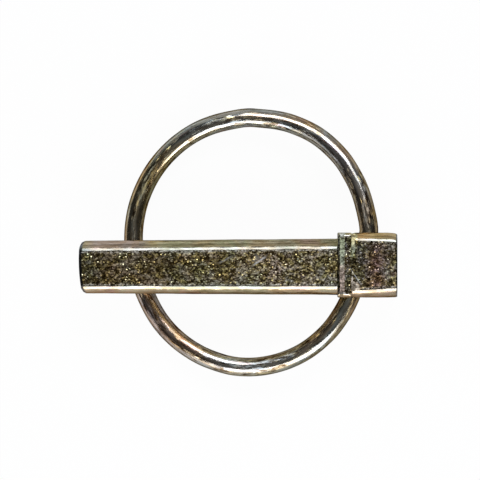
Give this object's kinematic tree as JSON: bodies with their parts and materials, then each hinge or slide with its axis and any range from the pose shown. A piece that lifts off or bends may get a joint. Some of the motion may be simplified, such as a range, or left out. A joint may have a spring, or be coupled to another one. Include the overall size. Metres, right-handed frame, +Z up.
{
  "type": "lynch pin",
  "caption": "Square-shank lynch pin with an upset head and a spring ring that swings through the head and snaps shut over the shank.",
  "frame": {"origin": "on the flat surface that the pin lies on, under the middle of its box", "axes": "+X along the shank from tip to head, +Y across the ring towards its wide half, +Z up out of the pin's front face"},
  "size_m": [0.0583, 0.0488, 0.0143],
  "materials": {
    "forged_steel": "yellow zinc plate over a forged and tumbled surface",
    "spring_steel": "yellow zinc plate over drawn wire"
  },
  "bodies": {
    "pin_body": {"pin": "forged_steel"},
    "ring_body": {"spring_ring": "spring_steel"}
  },
  "joints": [
    {"name": "ring_swing", "type": "hinge", "parent": "pin_body", "child": "ring_body", "pos_m": [0.02214, -0.00447, 0.00648], "axis": [-0.2781, -0.9599, -0.0344], "range_deg": [0, 339.6]}
  ]
}
